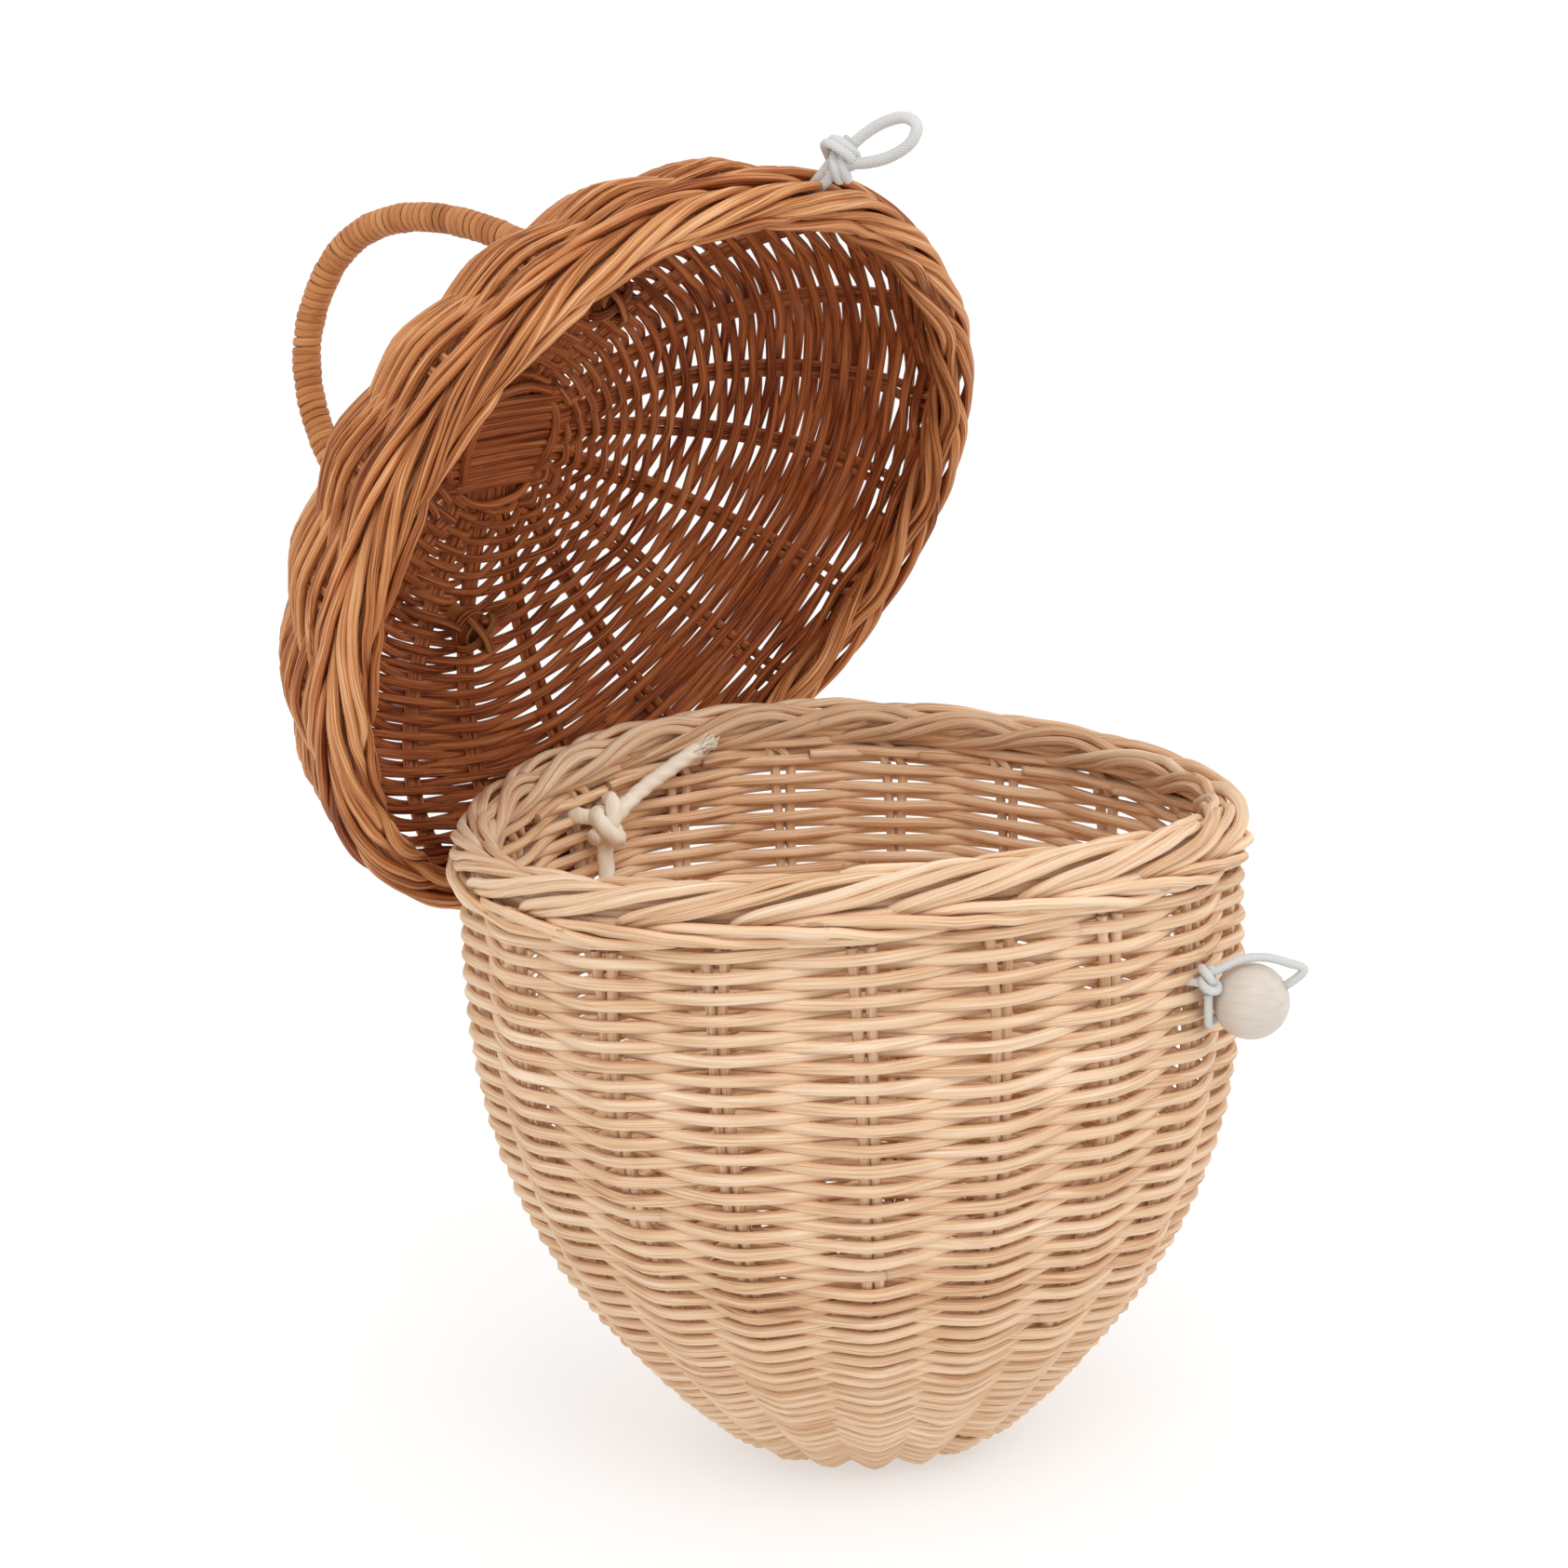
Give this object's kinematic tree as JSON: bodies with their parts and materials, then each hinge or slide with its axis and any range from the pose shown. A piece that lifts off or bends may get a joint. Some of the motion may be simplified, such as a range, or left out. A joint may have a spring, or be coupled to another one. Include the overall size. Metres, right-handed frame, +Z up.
{
  "type": "lidded storage basket",
  "caption": "Acorn-shaped woven cane basket with a domed lid tied on at the back, a wound carrying handle, an elastic closing loop and a wooden bead.",
  "frame": {"origin": "centre of the flat bottom of the basket, on the table", "axes": "+Z up, -Y towards the front with the bead, +Y towards the back with the tie, +X to the right seen from the front; the lid is stored hanging open"},
  "size_m": [0.2128, 0.3106, 0.3281],
  "materials": {
    "straw_cane": "natural pale cane, dry satin",
    "straw_rod": "natural pale cane, dry satin",
    "brown_cane": "cane stained orange-brown, satin",
    "brown_rod": "cane stained dark brown, satin",
    "handle_cane": "flat cane stained light brown, slight gloss",
    "cotton_cord": "off-white laid cotton cord, matte",
    "elastic_cord": "white braided elastic, matte",
    "bead_wood": "pale turned wood, smooth"
  },
  "bodies": {
    "basket": {"basket_wall": "straw_cane", "basket_border": "straw_cane", "basket_slath_lower": "straw_rod", "basket_slath_upper": "straw_rod", "basket_stake_01": "straw_rod", "basket_stake_02": "straw_rod", "basket_stake_03": "straw_rod", "basket_stake_04": "straw_rod", "basket_stake_05": "straw_rod", "basket_stake_06": "straw_rod", "basket_stake_07": "straw_rod", "basket_stake_08": "straw_rod", "basket_stake_09": "straw_rod", "basket_stake_10": "straw_rod", "basket_stake_11": "straw_rod", "basket_stake_12": "straw_rod", "basket_stake_13": "straw_rod", "basket_stake_14": "straw_rod", "basket_stake_15": "straw_rod", "basket_stake_16": "straw_rod", "basket_stake_17": "straw_rod", "basket_stake_18": "straw_rod", "basket_stake_19": "straw_rod", "hinge_tie": "cotton_cord", "tie_knot": "cotton_cord", "tie_tail": "cotton_cord", "tie_end": "cotton_cord", "bead_knot": "elastic_cord"},
    "lid": {"lid_dome": "brown_cane", "lid_border": "brown_cane", "lid_slath_lower": "brown_rod", "lid_slath_upper": "brown_rod", "lid_stake_01": "brown_rod", "lid_stake_02": "brown_rod", "lid_stake_03": "brown_rod", "lid_stake_04": "brown_rod", "lid_stake_05": "brown_rod", "lid_stake_06": "brown_rod", "lid_stake_07": "brown_rod", "lid_stake_08": "brown_rod", "lid_stake_09": "brown_rod", "lid_stake_10": "brown_rod", "lid_stake_11": "brown_rod", "lid_stake_12": "brown_rod", "lid_stake_13": "brown_rod", "lid_stake_14": "brown_rod", "lid_stake_15": "brown_rod", "lid_stake_16": "brown_rod", "lid_stake_17": "brown_rod", "lid_stake_18": "brown_rod", "lid_stake_19": "brown_rod", "lid_stake_20": "brown_rod", "handle_core": "handle_cane", "handle_wrap": "handle_cane", "handle_lashing_front": "handle_cane", "handle_lashing_back": "handle_cane", "closure_knot": "elastic_cord"},
    "closing_loop": {"closure_loop": "elastic_cord"},
    "bead_loop": {"bead_cord": "elastic_cord"},
    "bead": {"bead": "bead_wood"}
  },
  "joints": [
    {"name": "lid_hinge", "type": "hinge", "parent": "basket", "child": "lid", "pos_m": [0, 0.06898, 0.14412], "axis": [1, 0, 0], "range_deg": [0, 62.9], "deforming": ["hinge_tie"]},
    {"name": "loop_swing", "type": "hinge", "parent": "lid", "child": "closing_loop", "pos_m": [0.01766, 0.00986, 0.31662], "axis": [0.9877, 0.0713, -0.1393], "range_deg": [-30, 25], "stiffness_Nm_per_rad": 0.002},
    {"name": "bead_swing", "type": "hinge", "parent": "basket", "child": "bead_loop", "pos_m": [0.0114, -0.09995, 0.1307], "axis": [-0.9936, -0.1133, 0], "range_deg": [0, 40]},
    {"name": "bead_spin", "type": "hinge", "parent": "bead_loop", "child": "bead", "pos_m": [0.02153, -0.10471, 0.1247], "axis": [0.5643, -0.7092, 0.4226], "continuous": true}
  ]
}
